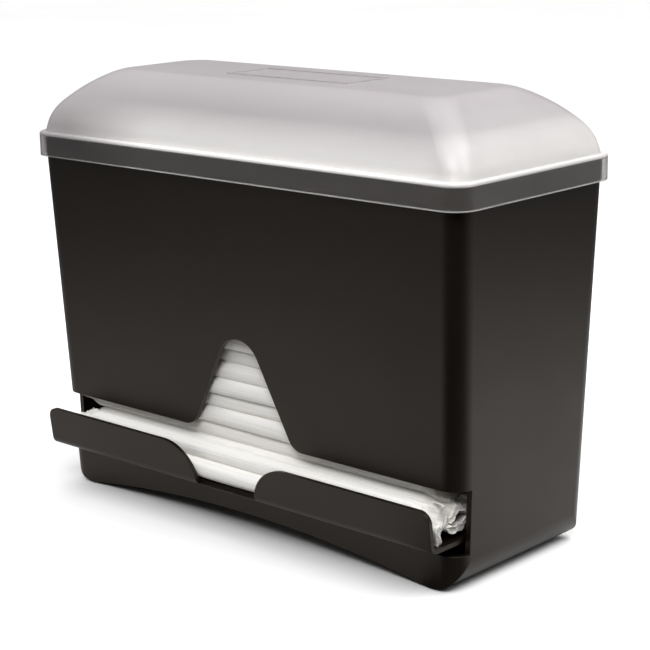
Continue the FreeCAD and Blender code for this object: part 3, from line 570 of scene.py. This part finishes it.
def torsion_spring(name, node, start):
    """Round wire swept along the spring's path; the upper leg lies at the lever, the lower one at the tub.
    """
    path = spring_path(start)
    turns = [math.tau * k / WIRE_SIDES for k in range(WIRE_SIDES)]
    mesh = bmesh.new()
    rings = []
    for i, place in enumerate(path):
        ahead = (path[min(i + 1, len(path) - 1)] - path[max(i - 1, 0)]).normalized()
        out = Vector((1.0, 0.0, 0.0)).cross(ahead).normalized()
        up = ahead.cross(out)
        radius = WIRE_RADIUS * WIRE_END if i in (0, len(path) - 1) else WIRE_RADIUS
        ring = [place + (out * math.cos(turn) + up * math.sin(turn)) * radius for turn in turns]
        rings.append([mesh.verts.new(point * MM) for point in ring])
    skin(mesh, rings)
    obj = made_of(name, mesh, BY_SLOT["steel"])
    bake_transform(obj)
    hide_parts(node)


torsion_spring("wound_spring_left", "spring_left", -COIL_X - COIL_LONG)
torsion_spring("wound_spring_right", "spring_right", COIL_X)


# Floor, light and camera
def dark_side(tree, direction, light, dark):
    """A number that falls from light to dark where a level direction turns to the studio's dark side."""
    toward = tree.nodes.new("ShaderNodeVectorMath")
    toward.operation = "DOT_PRODUCT"
    toward.inputs[1].default_value = (math.sin(DARK_BEARING), -math.cos(DARK_BEARING), 0.0)
    tree.links.new(direction, toward.inputs[0])
    fade = tree.nodes.new("ShaderNodeMapRange")
    fade.interpolation_type = "SMOOTHSTEP"
    set_range(fade, DARK_SPREAD, (light, dark))
    tree.links.new(toward.outputs["Value"], fade.inputs["Value"])
    return fade.outputs["Result"]


def seen_directly(tree):
    """One for rays of the camera, less for rays that came through the lid, nought for the rest."""
    path = tree.nodes.new("ShaderNodeLightPath").outputs
    through = tree.nodes.new("ShaderNodeMath")
    through.operation = "MULTIPLY_ADD"
    through.use_clamp = True
    through.inputs[1].default_value = THROUGH_LID
    tree.links.new(path["Is Transmission Ray"], through.inputs[0])
    tree.links.new(path["Is Camera Ray"], through.inputs[2])
    return through.outputs["Value"]


def floor():
    """Pale paper where it is seen; the colour it gives back to the object is painted light: dim, darker on
    the studio's dark side and far off, with one painted pool of light.
    """
    shader = Shader("floor_paper")
    pale = shader.ramp(shader.grain(scale=3.0, detail=2.0), MOST_NOISE, FLOOR_TONES)

    # Painted shade in the colour given back: darker on the studio's dark side and far away
    away = shader.add("ShaderNodeVectorMath", operation="SUBTRACT")
    away.inputs[1].default_value = NEAR_CORNER
    shader.link(shader.place, away.inputs[0])
    level = shader.add("ShaderNodeVectorMath", operation="NORMALIZE")
    shader.link(away.outputs["Vector"], level.inputs[0])
    side = dark_side(shader.tree, level.outputs["Vector"], FLOOR_BOUNCE, DARK_BOUNCE)

    far = shader.add("ShaderNodeVectorMath", operation="LENGTH")
    shader.link(shader.place, far.inputs[0])
    near = shader.spread(far.outputs["Value"], BOUNCE_REACH, (1.0, FAR_BOUNCE))

    # A painted pool of light in the colour given back
    off = shader.add("ShaderNodeVectorMath", operation="DISTANCE")
    off.inputs[1].default_value = POOL_PLACE
    shader.link(shader.place, off.inputs[0])
    painted_pool = shader.spread(off.outputs["Value"], POOL_REACH, (POOL_BOUNCE, 0.0))

    mix = shader.add("ShaderNodeMix", data_type="RGBA")
    shader.link(seen_directly(shader.tree), mix.inputs["Factor"])
    shader.link(shader.sum(shader.product(side, near), painted_pool), mix.inputs[COLOUR_A])
    shader.link(pale, mix.inputs[COLOUR_B])
    shader.feed("Base Color", mix.outputs[COLOUR_OUT])
    shader.set(Roughness=0.9, Specular_IOR_Level=0.1)

    half = FLOOR_HALF
    corners = [(-half, -half, 0), (half, -half, 0), (half, half, 0), (-half, half, 0)]
    data = bpy.data.meshes.new("floor")
    data.from_pydata(corners, [], [(0, 1, 2, 3)])
    data.materials.append(shader.material)
    add_object("floor", data)


def softbox(name, place, target, side, power):
    data = bpy.data.lights.new(name, "AREA")
    data.shape = "RECTANGLE"
    data.size = side
    data.size_y = side
    data.energy = power
    obj = add_object(name, data)
    obj.location = place
    obj.rotation_euler = (Vector(place) - Vector(target)).to_track_quat("Z", "Y").to_euler()


def sun():
    """Wide overhead light that keeps the floor pale far away from the object."""
    data = bpy.data.lights.new("overhead", "SUN")
    data.energy = SUN_LIGHT
    data.angle = SUN_SPREAD
    add_object("overhead", data)


def sky():
    """White where it is seen; as light it is dim, and dimmer still on the studio's dark side."""
    world = bpy.data.worlds.new("studio")
    bpy.context.scene.world = world
    world.use_nodes = True
    tree = world.node_tree
    background = tree.nodes["Background"]
    heading = tree.nodes.new("ShaderNodeTexCoord").outputs["Generated"]
    mix = tree.nodes.new("ShaderNodeMix")
    tree.links.new(seen_directly(tree), mix.inputs["Factor"])
    tree.links.new(dark_side(tree, heading, SKY_LIGHT, DARK_LIGHT), mix.inputs[NUMBER_A])
    mix.inputs[NUMBER_B].default_value = SEEN_SKY
    tree.links.new(mix.outputs[NUMBER_OUT], background.inputs["Strength"])
    background.inputs["Color"].default_value = (1.0, 1.0, 1.0, 1.0)


def camera():
    """The photo's view."""
    azimuth = math.radians(CAMERA_AZIMUTH)
    elevation = math.radians(CAMERA_ELEVATION)
    roll = math.radians(CAMERA_ROLL)
    level = math.cos(elevation)
    back = Vector((math.sin(azimuth) * level, -math.cos(azimuth) * level, math.sin(elevation)))
    right = Vector((math.cos(azimuth), math.sin(azimuth), 0.0))
    up = back.cross(right)
    across = right * math.cos(roll) + up * math.sin(roll)
    upward = up * math.cos(roll) - right * math.sin(roll)
    data = bpy.data.cameras.new("camera")
    data.sensor_width = SENSOR
    data.lens = FOCAL_PIXELS / FRAME_PIXELS * SENSOR
    data.clip_end = CAMERA_REACH
    obj = add_object("camera", data)
    turned = Matrix((across, upward, back)).transposed().to_4x4()
    obj.matrix_world = Matrix.Translation(CAMERA_PLACE) @ turned
    bpy.context.scene.camera = obj


floor()
sky()
sun()
for name, (place, target, side, power) in SOFTBOXES.items():
    softbox(name, place, target, side, power)
camera()
bpy.context.scene.view_settings.view_transform = "Standard"
